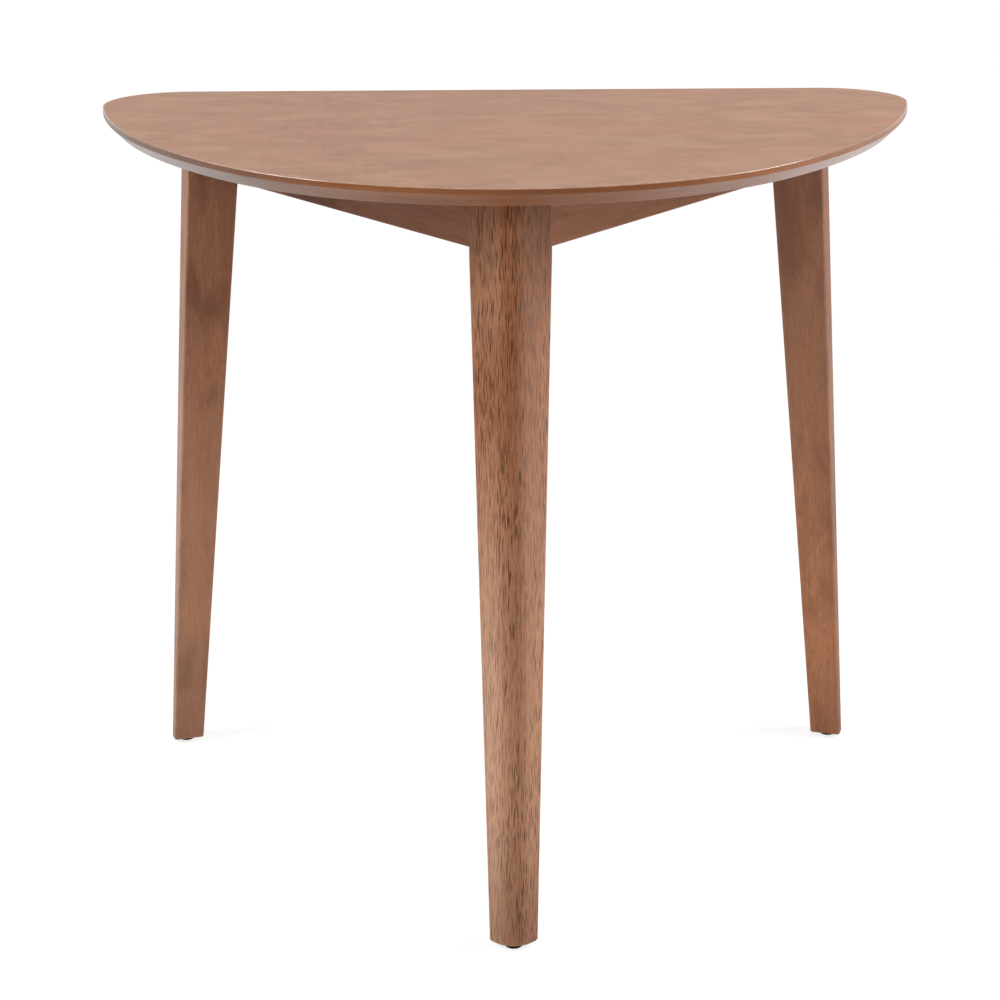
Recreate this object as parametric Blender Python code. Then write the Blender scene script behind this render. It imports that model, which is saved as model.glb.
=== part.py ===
# Corner table: a straight-backed, bow-fronted top on three splayed, tapered legs.
# Metres, +Z up. The straight back edge faces +Y, and the nose over the front leg faces -Y.
# The origin is on the floor, midway between the nose and the back corners of the back feet.

import math
from dataclasses import dataclass

import bmesh
import bpy
from mathutils import Matrix, Vector

# Clearances between touching pieces, and how far a cutter overruns what it cuts
FIT_GAP = 0.0003
CUT_OVERRUN = 0.003
MERGE_DISTANCE = 0.000001

# Top: a core board between two veneers, an upright band round its edge and an undercut bevel below
TABLE_HEIGHT = 0.750
TOP_WIDTH = 0.848
TOP_DEPTH = 0.565
BACK_EDGE = 0.28142
TOP_THICKNESS = 0.018
TOP_CORNER_RADIUS = 0.084
CORNER_ARC_SWEEP = math.radians(97.5)
NOSE_ARC_HALF_SWEEP = math.radians(48.5)
EDGE_BAND_HEIGHT = 0.006
EDGE_UNDERCUT = 0.012
VENEER_THICKNESS = 0.0006
VENEER_EASE = 0.0004

# Legs: a square section set with its diagonal pointing outwards
FRONT_LEG_SETBACK = 0.045
BACK_LEG_SETBACK = 0.030
BACK_LEG_SIDE_SETBACK = 0.0725
LEG_SIDE = 0.055
LEG_FOOT_SIDE = 0.034
LEG_SPLAY = 0.049
OUTER_ARRIS_RADIUS = 0.023
LEG_ARRIS_RADIUS = 0.002
FOOT_EASE = 0.0012
KNEE_DROP = 0.010
KNEE_BLEND = 0.004

# The plumb flat on each leg's inner corner, where its bolts enter: its width at its lower end, how
# far that end lies below the aprons, and the radius of the run-out there
BOLT_FLAT_WIDTH = 0.020
BOLT_FLAT_DROP = 0.006
RUN_OUT_RADIUS = 0.018

# Aprons
APRON_HEIGHT = 0.053
APRON_THICKNESS = 0.018
APRON_SETBACK = 0.002
APRON_EASE = 0.0015

# Corner blocks
BLOCK_HEIGHT = 0.046
BLOCK_THICKNESS = 0.022
BLOCK_STANDOFF = 0.006

# Hanger bolts, washers and nuts
BOLT_RADIUS = 0.004
BOLT_WOOD_LENGTH = 0.038
BOLT_TIP_LENGTH = 0.006
BOLT_PROJECTION = 0.003
BOLT_END_EASE = 0.0008
BOLT_LEVEL_SHARES = {"upper": 0.26, "lower": 0.74}
BOLT_HOLE_CLEARANCE = 0.0005
WASHER_RADIUS = 0.008
WASHER_THICKNESS = 0.0016
SPRING_WASHER_WIDTH = 0.0028
SPRING_WASHER_THICKNESS = 0.002
SPRING_WASHER_SLIT = 0.0012
NUT_ACROSS_FLATS = 0.013
NUT_HEIGHT = 0.0065
NUT_EASE = 0.001

# Screws
SCREW_RADIUS = 0.002
SCREW_HEAD_RADIUS = 0.004
SCREW_HEAD_HEIGHT = 0.0028
SCREW_HEAD_EASE = 0.001
SCREW_TIP_LENGTH = 0.004
SCREW_POCKET_CLEARANCE = 0.0008
POCKET_SCREW_LENGTH = 0.025
TOP_SCREW_LENGTH = 0.035
TOP_SCREW_GRIP = 0.024
TOP_SCREW_OFFSET = 0.015
BLOCK_SCREW_GRIP = 0.010
BLOCK_SCREW_INSET = 0.012
BLOCK_SCREW_TILT = math.radians(20)
APRON_SCREW_GRIP = 0.014
APRON_SCREW_SPACING = 0.240
APRON_SCREW_TILT = math.radians(20)

# Glides and their nails
GLIDE_RADIUS = 0.009
GLIDE_HEIGHT = 0.005
GLIDE_EASE = 0.001
GLIDE_RECESS_RADIUS = 0.0036
GLIDE_RECESS_DEPTH = 0.002
NAIL_RADIUS = 0.001
NAIL_HEAD_RADIUS = 0.003
NAIL_HEAD_THICKNESS = 0.001
NAIL_REACH = 0.016
NAIL_TIP_LENGTH = 0.003

# How finely round forms are divided
NOSE_STEPS = 12
SIDE_STEPS = 12
CORNER_STEPS = 14
ARRIS_STEPS = 8
SMALL_ARRIS_STEPS = 2
RUN_OUT_STEPS = 6
BOLT_SIDES = 12
NUT_SIDES = 12
SCREW_SIDES = 8
GLIDE_SIDES = 24
SMOOTH_ANGLE = math.radians(35)
KNEE_RING_SHARES = (-1, -0.5, 0, 0.5, 1)

# Colour, roughness and metallic value of each finish
FINISHES = {
    "face veneer": ((0.490, 0.288, 0.195), 0.35, 0.0),
    "backing veneer": ((0.300, 0.160, 0.100), 0.50, 0.0),
    "stained core": ((0.330, 0.165, 0.095), 0.40, 0.0),
    "stained wood": ((0.270, 0.125, 0.070), 0.40, 0.0),
    "plain wood": ((0.560, 0.390, 0.240), 0.60, 0.0),
    "zinc": ((0.620, 0.620, 0.600), 0.35, 1.0),
    "black plastic": ((0.020, 0.020, 0.020), 0.55, 0.0),
}

# Levels that several pieces share
BOARD_BOTTOM = TABLE_HEIGHT - TOP_THICKNESS
FRAME_TOP = BOARD_BOTTOM - FIT_GAP
APRON_BOTTOM = FRAME_TOP - APRON_HEIGHT
BLOCK_BOTTOM = FRAME_TOP - BLOCK_HEIGHT
BLOCK_MIDDLE = FRAME_TOP - BLOCK_HEIGHT / 2
BOLT_LEVELS = {name: FRAME_TOP - BLOCK_HEIGHT * share for name, share in BOLT_LEVEL_SHARES.items()}
KNEE_LEVEL = APRON_BOTTOM - KNEE_DROP
FLAT_END = APRON_BOTTOM - BOLT_FLAT_DROP
FOOT_LEVEL = GLIDE_HEIGHT + FIT_GAP

# Distances from a leg's flat, inwards along its bolts
BLOCK_BACK = BLOCK_STANDOFF + BLOCK_THICKNESS
WASHER_START = BLOCK_BACK + FIT_GAP
SPRING_WASHER_START = WASHER_START + WASHER_THICKNESS + FIT_GAP
NUT_START = SPRING_WASHER_START + SPRING_WASHER_THICKNESS + FIT_GAP
BOLT_END = NUT_START + NUT_HEIGHT + BOLT_PROJECTION

UP = Vector((0, 0, 1))


@dataclass
class Corner:
    """A leg's place: its unrounded outer arris in plan, at the underside of the top, and its lean."""

    name: str
    tip: Vector
    out: Vector

    @property
    def side(self):
        """Plan direction square to the lean, towards the next corner anticlockwise."""
        return Vector((-self.out.y, self.out.x))

    def tip_at(self, level):
        return self.tip + self.out * LEG_SPLAY * (FRAME_TOP - level) / (FRAME_TOP - FOOT_LEVEL)

    def centre_at(self, level):
        return self.tip_at(level) - self.out * leg_side(level) / math.sqrt(2)

    def side_corner(self, sign):
        """The leg's side arris in plan at its top end: sign +1 is the one towards the next corner."""
        half_diagonal = leg_side(FRAME_TOP) / math.sqrt(2)
        return self.tip - self.out * half_diagonal + self.side * half_diagonal * sign

    def inner_at(self, level):
        """The leg's inner arris in plan."""
        return self.tip_at(level) - self.out * leg_side(level) * math.sqrt(2)

    @property
    def flat(self):
        """The middle of the bolt flat in plan. The flat is plumb, so it grows wider upwards."""
        return self.inner_at(FLAT_END) + self.out * BOLT_FLAT_WIDTH / 2

    def bolt_place(self, level):
        """Frame on the bolt flat whose Z axis runs inwards along a bolt."""
        return aimed(raised(self.flat, level), raised(-self.out, 0))


@dataclass
class Apron:
    """A rail between two legs: a point on its outer face in plan, and its directions."""

    name: str
    start: Corner
    end: Corner
    outer_face: Vector
    along: Vector
    screws: int

    @property
    def inward(self):
        return Vector((-self.along.y, self.along.x))

    @property
    def inner_face(self):
        return self.outer_face + self.inward * APRON_THICKNESS


def raised(plan_point, level):
    return Vector((plan_point.x, plan_point.y, level))


def direction(angle):
    return Vector((math.cos(angle), math.sin(angle)))


def crossing(point, way, other_point, other_way):
    """Where two lines in plan cross."""
    return point + way * ((other_point - point).cross(other_way) / way.cross(other_way))


def aimed(origin, way):
    """Frame at origin whose Z axis points along way."""
    return Matrix.Translation(origin) @ way.to_track_quat("Z", "Y").to_matrix().to_4x4()


def clearing(radius, sides):
    """Radius of a regular outline whose flats clear a round bar of the given radius."""
    return (radius + FIT_GAP) / math.cos(math.pi / sides)


def arc(centre, radius, start, end, steps):
    return [centre + radius * direction(start + (end - start) * step / steps) for step in range(steps + 1)]


def rounded(corners, radii, steps):
    """Plan outline with each corner replaced by an arc of its own radius and number of steps."""
    outline = []
    for index, corner in enumerate(corners):
        before = (corners[index - 1] - corner).normalized()
        after = (corners[(index + 1) % len(corners)] - corner).normalized()
        half_angle = before.angle(after) / 2
        centre = corner + (before + after).normalized() * radii[index] / math.sin(half_angle)
        first = corner + before * radii[index] / math.tan(half_angle) - centre
        start = math.atan2(first.y, first.x)
        outline += arc(centre, radii[index], start, start + math.pi - 2 * half_angle, steps[index])
    return outline


def leg_side(level):
    """Side of the leg's section: the same from the top down to the knee, then tapering to the foot."""
    taper = (LEG_SIDE - LEG_FOOT_SIDE) / (KNEE_LEVEL - FOOT_LEVEL)
    rise = level - KNEE_LEVEL + KNEE_BLEND
    if rise <= 0:
        return LEG_SIDE - taper * (KNEE_LEVEL - level)
    if rise >= 2 * KNEE_BLEND:
        return LEG_SIDE
    return LEG_SIDE + taper * (rise - KNEE_BLEND) - taper * rise**2 / (4 * KNEE_BLEND)


def finished(mesh):
    """Close up a body's seams and point its faces outwards."""
    bmesh.ops.remove_doubles(mesh, verts=mesh.verts, dist=MERGE_DISTANCE)
    bmesh.ops.recalc_face_normals(mesh, faces=mesh.faces)
    shape = bpy.data.meshes.new("shape")
    mesh.to_mesh(shape)
    mesh.free()
    return shape


def turned(profile, sides, ring=False):
    """Body of revolution about Z from (radius, height) points. A ring's profile closes off the axis."""
    mesh = bmesh.new()
    points = [mesh.verts.new((radius, 0, height)) for radius, height in profile]
    edges = [mesh.edges.new(pair) for pair in zip(points, points[1:])]
    if ring:
        edges.append(mesh.edges.new((points[-1], points[0])))
    bmesh.ops.spin(
        mesh, geom=points + edges, cent=(0, 0, 0), axis=UP, angle=math.tau, steps=sides, use_merge=True
    )
    return finished(mesh)


def extruded(outline, travel):
    """Straight body from a flat outline of points in space."""
    mesh = bmesh.new()
    near = [mesh.verts.new(point) for point in outline]
    far = [mesh.verts.new(Vector(point) + travel) for point in outline]
    mesh.faces.new(near)
    mesh.faces.new(reversed(far))
    for index, point in enumerate(near):
        mesh.faces.new((near[index - 1], point, far[index], far[index - 1]))
    return finished(mesh)


def prism(plan, low, high):
    return extruded([raised(point, low) for point in plan], UP * (high - low))


def lofted(rings, closed=False):
    """Skin over rings of equal counts, with capped ends unless the last ring joins the first."""
    mesh = bmesh.new()
    loops = [[mesh.verts.new(point) for point in ring] for ring in rings]
    pairs = list(zip(loops, loops[1:]))
    if closed:
        pairs.append((loops[-1], loops[0]))
    else:
        mesh.faces.new(loops[0])
        mesh.faces.new(loops[-1])
    for lower, upper in pairs:
        for index in range(len(lower)):
            mesh.faces.new((lower[index - 1], lower[index], upper[index], upper[index - 1]))
    return finished(mesh)


def assembled(name, placed):
    """One object from pairs of a shape and its place, smooth up to the smoothing angle."""
    mesh = bmesh.new()
    for shape, place in placed:
        count = len(mesh.verts)
        mesh.from_mesh(shape)
        mesh.verts.ensure_lookup_table()
        bmesh.ops.transform(mesh, matrix=place, verts=mesh.verts[count:])
    data = bpy.data.meshes.new(name)
    mesh.to_mesh(data)
    mesh.free()
    data.shade_smooth()
    data.set_sharp_from_angle(angle=SMOOTH_ANGLE)
    piece = bpy.data.objects.new(name, data)
    bpy.context.scene.collection.objects.link(piece)
    return piece


def dressed(piece, finish):
    """Give a piece its own material."""
    colour, roughness, metallic = FINISHES[finish]
    material = bpy.data.materials.new(piece.name)
    material.use_nodes = True
    shader = material.node_tree.nodes["Principled BSDF"]
    shader.inputs["Base Color"].default_value = (*colour, 1)
    shader.inputs["Roughness"].default_value = roughness
    shader.inputs["Metallic"].default_value = metallic
    piece.data.materials.append(material)
    return piece


def cut(piece, placed):
    """Cut bodies that don't meet each other out of a piece."""
    cutter = assembled("cutter_" + piece.name, placed)
    cutter.display_type = "WIRE"
    cutter.hide_render = True
    boolean = piece.modifiers.new("cut", "BOOLEAN")
    boolean.operation = "DIFFERENCE"
    boolean.solver = "EXACT"
    boolean.object = cutter


def top_arcs():
    """Centre, radius, start, end and steps of the three arcs from the nose to the back right corner.

    Neighbouring arcs touch where they meet, which settles the radii of the nose and of the side."""
    nose_end = NOSE_ARC_HALF_SWEEP - math.pi / 2
    side_end = math.pi / 2 - CORNER_ARC_SWEEP
    nose = Vector((0, BACK_EDGE - TOP_DEPTH))
    corner_centre = Vector((TOP_WIDTH / 2 - TOP_CORNER_RADIUS, BACK_EDGE - TOP_CORNER_RADIUS))
    nose_way = direction(nose_end) - direction(-math.pi / 2)
    side_way = direction(side_end) - direction(nose_end)
    reach = corner_centre + TOP_CORNER_RADIUS * direction(side_end) - nose
    nose_radius = reach.cross(side_way) / nose_way.cross(side_way)
    side_radius = nose_way.cross(reach) / nose_way.cross(side_way)
    nose_centre = nose - nose_radius * direction(-math.pi / 2)
    side_centre = nose_centre + (nose_radius - side_radius) * direction(nose_end)
    return [
        (nose_centre, nose_radius, -math.pi / 2, nose_end, NOSE_STEPS),
        (side_centre, side_radius, nose_end, side_end, SIDE_STEPS),
        (corner_centre, TOP_CORNER_RADIUS, side_end, math.pi / 2, CORNER_STEPS),
    ]


def top_outline(inset):
    """The top's plan outline, anticlockwise from the nose, moved inwards by the inset."""
    right = []
    for centre, radius, start, end, steps in top_arcs():
        right += arc(centre, radius - inset, start, end, steps)[:-1]
    centre, radius, start, end, steps = top_arcs()[-1]
    right.append(centre + (radius - inset) * direction(end))
    left = [Vector((-point.x, point.y)) for point in reversed(right[1:])]
    return right + left


def edge_inset(level):
    """How far the edge has drawn in at a level: not at all on the band, then along the bevel."""
    below_band = TABLE_HEIGHT - EDGE_BAND_HEIGHT - level
    return max(0, below_band) * EDGE_UNDERCUT / (TOP_THICKNESS - EDGE_BAND_HEIGHT)


def edge_ring(level, ease=0):
    return [raised(point, level) for point in top_outline(edge_inset(level) + ease)]


def make_top(corners, aprons):
    """Core board and veneers, with pilot holes for the screws that come up through the frame."""
    core_bottom = BOARD_BOTTOM + VENEER_THICKNESS + FIT_GAP
    face_bottom = TABLE_HEIGHT - VENEER_THICKNESS
    band_bottom = TABLE_HEIGHT - EDGE_BAND_HEIGHT
    core_shape = lofted([edge_ring(level) for level in (core_bottom, band_bottom, face_bottom - FIT_GAP)])
    core = dressed(assembled("top_core", [(core_shape, Matrix())]), "stained core")
    backing_shape = lofted([edge_ring(BOARD_BOTTOM), edge_ring(BOARD_BOTTOM + VENEER_THICKNESS)])
    backing = dressed(assembled("top_backing_veneer", [(backing_shape, Matrix())]), "backing veneer")
    face_rings = [edge_ring(face_bottom), edge_ring(TABLE_HEIGHT - VENEER_EASE)]
    face_rings.append(edge_ring(TABLE_HEIGHT, VENEER_EASE))
    dressed(assembled("top_face_veneer", [(lofted(face_rings), Matrix())]), "face veneer")
    pilots = [(pilot(TOP_SCREW_LENGTH), place) for corner in corners for place in top_screw_places(corner)]
    pilots += [(pilot(POCKET_SCREW_LENGTH), place) for apron in aprons for place in apron_screw_places(apron)]
    cut(core, pilots)
    cut(backing, pilots)


def leg_section(corner, level, ease=0):
    """The leg's outline at a level, drawn in by an ease where its end is chamfered."""
    half_diagonal = leg_side(level) / math.sqrt(2) - ease
    centre = corner.centre_at(level)
    ways = [corner.out, corner.side, -corner.out, -corner.side]
    radii = [OUTER_ARRIS_RADIUS] + [LEG_ARRIS_RADIUS] * 3
    steps = [ARRIS_STEPS] + [SMALL_ARRIS_STEPS] * 3
    outline = rounded([centre + way * half_diagonal for way in ways], radii, steps)
    return [raised(point, level) for point in outline]


def bolt_flat_cutter(corner):
    """Cuts the flat on the inner arris, down to a run-out as a round cutter leaves it."""
    half_width = (corner.flat - corner.inner_at(FRAME_TOP)).length + CUT_OVERRUN
    turn = [direction(math.pi / 2 * step / RUN_OUT_STEPS) for step in range(RUN_OUT_STEPS + 1)]
    profile = [(RUN_OUT_RADIUS * (1 - way.x), FLAT_END - RUN_OUT_RADIUS * way.y) for way in turn]
    clear_of_leg = RUN_OUT_RADIUS + BOLT_FLAT_WIDTH
    profile.append((clear_of_leg, FLAT_END - RUN_OUT_RADIUS))
    profile.append((clear_of_leg, FRAME_TOP + CUT_OVERRUN))
    profile.append((0, FRAME_TOP + CUT_OVERRUN))
    start = corner.flat - corner.side * half_width
    outline = [raised(start - corner.out * depth, level) for depth, level in profile]
    return extruded(outline, raised(corner.side, 0) * half_width * 2)


def make_leg(corner):
    """Lofted leg with its bolt flat, the bores of its two bolts and the pilot of its glide's nail."""
    blend = [KNEE_LEVEL + KNEE_BLEND * share for share in KNEE_RING_SHARES]
    rings = [leg_section(corner, FOOT_LEVEL, FOOT_EASE)]
    rings += [leg_section(corner, level) for level in (FOOT_LEVEL + FOOT_EASE, *blend, FRAME_TOP)]
    leg = dressed(assembled("leg_" + corner.name, [(lofted(rings), Matrix())]), "stained wood")
    cut(leg, [(bolt_flat_cutter(corner), Matrix())])
    bore_radius = clearing(BOLT_RADIUS, BOLT_SIDES)
    bore = turned(rod(bore_radius, -BOLT_WOOD_LENGTH - FIT_GAP, CUT_OVERRUN), BOLT_SIDES)
    nail_top = GLIDE_HEIGHT + NAIL_REACH + FIT_GAP
    nail_hole = turned(rod(clearing(NAIL_RADIUS, SCREW_SIDES), -CUT_OVERRUN, nail_top), SCREW_SIDES)
    bores = [(bore, corner.bolt_place(level)) for level in BOLT_LEVELS.values()]
    cut(leg, bores + [(nail_hole, glide_place(corner))])


def rod(radius, low, high):
    """Profile of a plain cylinder."""
    return [(0, low), (radius, low), (radius, high), (0, high)]


def apron_plan(apron, level):
    """Outline at a level: long faces parallel, ends cut to the legs' leaning inner faces."""
    start_normal = (apron.start.side - apron.start.out).normalized()
    start_face = apron.start.inner_at(level) + start_normal * FIT_GAP
    start_way = apron.start.side + apron.start.out
    end_normal = (-apron.end.side - apron.end.out).normalized()
    end_face = apron.end.inner_at(level) + end_normal * FIT_GAP
    end_way = apron.end.out - apron.end.side
    return [
        crossing(apron.outer_face, apron.along, start_face, start_way),
        crossing(apron.outer_face, apron.along, end_face, end_way),
        crossing(apron.inner_face, apron.along, end_face, end_way),
        crossing(apron.inner_face, apron.along, start_face, start_way),
    ]


def eased_apron(apron):
    """The apron's solid with its two long lower arrises rounded."""
    rings = [
        [raised(point, level) for point in apron_plan(apron, level)] for level in (APRON_BOTTOM, FRAME_TOP)
    ]
    mesh = bmesh.new()
    mesh.from_mesh(lofted(rings))
    arrises = [edge for edge in mesh.edges if is_long_lower(edge, apron)]
    bmesh.ops.bevel(
        mesh, geom=arrises, offset=APRON_EASE, segments=SMALL_ARRIS_STEPS, profile=0.5, affect="EDGES"
    )
    return finished(mesh)


def is_long_lower(edge, apron):
    """Whether an edge lies at the bottom and runs along the apron rather than across its end."""
    first, last = (vert.co for vert in edge.verts)
    at_bottom = max(first.z, last.z) < BLOCK_BOTTOM
    return at_bottom and abs((last - first).dot(raised(apron.along, 0))) > APRON_THICKNESS * 2


def make_apron(apron):
    """Apron with pockets for the screws into the top and pilots for those from the corner blocks."""
    piece = dressed(assembled("apron_" + apron.name, [(eased_apron(apron), Matrix())]), "stained wood")
    pocket = screw_pocket(APRON_HEIGHT, APRON_SCREW_GRIP + CUT_OVERRUN)
    tools = [(pocket, place) for place in apron_screw_places(apron)]
    for corner in (apron.start, apron.end):
        tools.append((pilot(POCKET_SCREW_LENGTH), block_screw_place(corner, apron)))
    cut(piece, tools)


def block_line(corner, distance):
    """A point on the line across the corner at a distance inwards from the bolt flat."""
    return corner.flat - corner.out * distance


def apron_seat(apron):
    """A point on the line where blocks seat against the apron's inner face."""
    return apron.inner_face + apron.inward * FIT_GAP


def make_block(corner, next_apron, last_apron):
    """Corner block between two aprons, with holes for the bolts and pockets for its screws."""
    front, back = block_line(corner, BLOCK_STANDOFF), block_line(corner, BLOCK_BACK)
    plan = [
        crossing(front, corner.side, apron_seat(last_apron), last_apron.along),
        crossing(front, corner.side, apron_seat(next_apron), next_apron.along),
        crossing(back, corner.side, apron_seat(next_apron), next_apron.along),
        crossing(back, corner.side, apron_seat(last_apron), last_apron.along),
    ]
    shape = prism(plan, BLOCK_BOTTOM, FRAME_TOP)
    block = dressed(assembled("corner_block_" + corner.name, [(shape, Matrix())]), "plain wood")
    hole_radius = clearing(BOLT_RADIUS + BOLT_HOLE_CLEARANCE, BOLT_SIDES)
    hole = turned(rod(hole_radius, BLOCK_STANDOFF - CUT_OVERRUN, BLOCK_BACK + CUT_OVERRUN), BOLT_SIDES)
    cut(block, [(hole, corner.bolt_place(level)) for level in BOLT_LEVELS.values()])
    top_reach = BLOCK_HEIGHT - TOP_SCREW_GRIP + CUT_OVERRUN
    top_pocket = screw_pocket(top_reach, TOP_SCREW_GRIP + CUT_OVERRUN)
    cut(block, [(top_pocket, place) for place in top_screw_places(corner)])
    pocket = screw_pocket(BLOCK_THICKNESS, BLOCK_SCREW_GRIP + CUT_OVERRUN)
    cut(block, [(pocket, block_screw_place(corner, apron)) for apron in (next_apron, last_apron)])


def make_bolt_set(corner):
    """Two hanger bolts through the corner's block, each with a washer, a spring washer and a nut."""
    bolt_profile = [
        (0, -BOLT_WOOD_LENGTH),
        (BOLT_RADIUS, BOLT_TIP_LENGTH - BOLT_WOOD_LENGTH),
        (BOLT_RADIUS, BOLT_END - BOLT_END_EASE),
        (BOLT_RADIUS - BOLT_END_EASE, BOLT_END),
        (0, BOLT_END),
    ]
    shapes = {
        "hanger_bolt": turned(bolt_profile, BOLT_SIDES),
        "flat_washer": washer(),
        "spring_washer": spring_washer(),
        "nut": nut(),
    }
    for height, level in BOLT_LEVELS.items():
        for kind, shape in shapes.items():
            name = "_".join((kind, corner.name, height))
            dressed(assembled(name, [(shape, corner.bolt_place(level))]), "zinc")


def washer():
    bore = clearing(BOLT_RADIUS, BOLT_SIDES)
    end = WASHER_START + WASHER_THICKNESS
    profile = [(bore, WASHER_START), (WASHER_RADIUS, WASHER_START), (WASHER_RADIUS, end), (bore, end)]
    return turned(profile, BOLT_SIDES, ring=True)


def spring_washer():
    """A flattened split ring: its section swept round from one side of the slit to the other."""
    inner = clearing(BOLT_RADIUS, BOLT_SIDES)
    outer = inner + SPRING_WASHER_WIDTH
    end = SPRING_WASHER_START + SPRING_WASHER_THICKNESS
    section = [(inner, SPRING_WASHER_START), (outer, SPRING_WASHER_START), (outer, end), (inner, end)]
    half_slit = SPRING_WASHER_SLIT / (inner + outer)
    sweep = math.tau - 2 * half_slit
    rings = []
    for step in range(BOLT_SIDES + 1):
        way = direction(half_slit + sweep * step / BOLT_SIDES)
        rings.append([raised(way * radius, height) for radius, height in section])
    return lofted(rings)


def nut():
    """Hexagon nut whose corners are chamfered at both ends, with a plain bore."""
    apothem = NUT_ACROSS_FLATS / 2
    corner_radius = apothem / math.cos(math.pi / 6)
    end = NUT_START + NUT_HEIGHT
    bore = clearing(BOLT_RADIUS, NUT_SIDES)
    rings = [
        nut_ring(apothem, apothem, NUT_START),
        nut_ring(corner_radius, apothem, NUT_START + NUT_EASE),
        nut_ring(corner_radius, apothem, end - NUT_EASE),
        nut_ring(apothem, apothem, end),
        nut_ring(bore, bore, end),
        nut_ring(bore, bore, NUT_START),
    ]
    return lofted(rings, closed=True)


def nut_ring(corner_radius, flat_radius, height):
    """Twelve points, by turns at the hexagon's corners and at the middles of its flats."""
    radii = [corner_radius, flat_radius] * (NUT_SIDES // 2)
    ways = [direction(math.tau * index / NUT_SIDES) for index in range(NUT_SIDES)]
    return [raised(way * radius, height) for way, radius in zip(ways, radii)]


def screw(length):
    """Pan-head screw whose head sits on its seat at zero height, driven along +Z."""
    return turned(
        [
            (0, -SCREW_HEAD_HEIGHT),
            (SCREW_HEAD_RADIUS - SCREW_HEAD_EASE, -SCREW_HEAD_HEIGHT),
            (SCREW_HEAD_RADIUS, SCREW_HEAD_EASE - SCREW_HEAD_HEIGHT),
            (SCREW_HEAD_RADIUS, -FIT_GAP),
            (SCREW_RADIUS, -FIT_GAP),
            (SCREW_RADIUS, length - SCREW_TIP_LENGTH),
            (0, length),
        ],
        SCREW_SIDES,
    )


def screw_pocket(reach, grip):
    """Cutter for a flat-bottomed pocket that takes the head, and the clearance hole ahead of it."""
    pocket_radius = clearing(SCREW_HEAD_RADIUS + SCREW_POCKET_CLEARANCE, BOLT_SIDES)
    hole_radius = clearing(SCREW_RADIUS, BOLT_SIDES)
    pocket = [(0, -reach), (pocket_radius, -reach), (pocket_radius, 0)]
    hole = [(hole_radius, 0), (hole_radius, grip), (0, grip)]
    return turned(pocket + hole, BOLT_SIDES)


def pilot(length):
    """Cutter for the hole that a screw's thread fills in the piece that it is driven into."""
    return turned(rod(clearing(SCREW_RADIUS, SCREW_SIDES), 0, length + FIT_GAP), SCREW_SIDES)


def top_screw_places(corner):
    """Seats of the two upright screws through a corner block into the top."""
    middle = block_line(corner, (BLOCK_STANDOFF + BLOCK_BACK) / 2)
    points = [middle + corner.side * TOP_SCREW_OFFSET * sign for sign in (-1, 1)]
    return [aimed(raised(point, FRAME_TOP - TOP_SCREW_GRIP), UP) for point in points]


def block_screw_place(corner, apron):
    """Seat of the screw through a block's end into an apron, leaning towards the leg."""
    back_corner = crossing(block_line(corner, BLOCK_BACK), corner.side, apron_seat(apron), apron.along)
    towards_leg = apron.along if apron.end is corner else -apron.along
    seat = back_corner + towards_leg * BLOCK_SCREW_INSET + apron.inward * BLOCK_SCREW_GRIP
    way = towards_leg * math.sin(BLOCK_SCREW_TILT) - apron.inward * math.cos(BLOCK_SCREW_TILT)
    return aimed(raised(seat, BLOCK_MIDDLE), raised(way, 0))


def apron_screw_places(apron):
    """Seats of the pocket screws that lean up through an apron into the top."""
    plan = apron_plan(apron, FRAME_TOP)
    middle = sum(plan, Vector((0, 0))) / len(plan)
    way = raised(-apron.inward, 0) * math.sin(APRON_SCREW_TILT) + UP * math.cos(APRON_SCREW_TILT)
    places = []
    for index in range(apron.screws):
        offset = APRON_SCREW_SPACING * (index - (apron.screws - 1) / 2)
        seat = raised(middle + apron.along * offset, FRAME_TOP) - way * APRON_SCREW_GRIP
        places.append(aimed(seat, way))
    return places


def make_screws(kind, length, places):
    """Separate screws of one kind, numbered."""
    for number, place in enumerate(places, start=1):
        dressed(assembled(kind + "_" + str(number), [(screw(length), place)]), "zinc")


def glide_place(corner):
    return Matrix.Translation(raised(corner.centre_at(FOOT_LEVEL), 0))


def make_glide(corner):
    """Round glide with a recess below for the head of the nail that holds it."""
    bore = clearing(NAIL_RADIUS, SCREW_SIDES)
    profile = [
        (bore, GLIDE_HEIGHT),
        (GLIDE_RADIUS, GLIDE_HEIGHT),
        (GLIDE_RADIUS, GLIDE_EASE),
        (GLIDE_RADIUS - GLIDE_EASE, 0),
        (GLIDE_RECESS_RADIUS, 0),
        (GLIDE_RECESS_RADIUS, GLIDE_RECESS_DEPTH),
        (bore, GLIDE_RECESS_DEPTH),
    ]
    glide = turned(profile, GLIDE_SIDES, ring=True)
    dressed(assembled("glide_" + corner.name, [(glide, glide_place(corner))]), "black plastic")
    head_top = GLIDE_RECESS_DEPTH - FIT_GAP
    nail_end = GLIDE_HEIGHT + NAIL_REACH
    nail_profile = [
        (0, head_top - NAIL_HEAD_THICKNESS),
        (NAIL_HEAD_RADIUS, head_top - NAIL_HEAD_THICKNESS),
        (NAIL_HEAD_RADIUS, head_top),
        (NAIL_RADIUS, head_top),
        (NAIL_RADIUS, nail_end - NAIL_TIP_LENGTH),
        (0, nail_end),
    ]
    nail = turned(nail_profile, SCREW_SIDES)
    dressed(assembled("glide_nail_" + corner.name, [(nail, glide_place(corner))]), "zinc")


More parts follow.
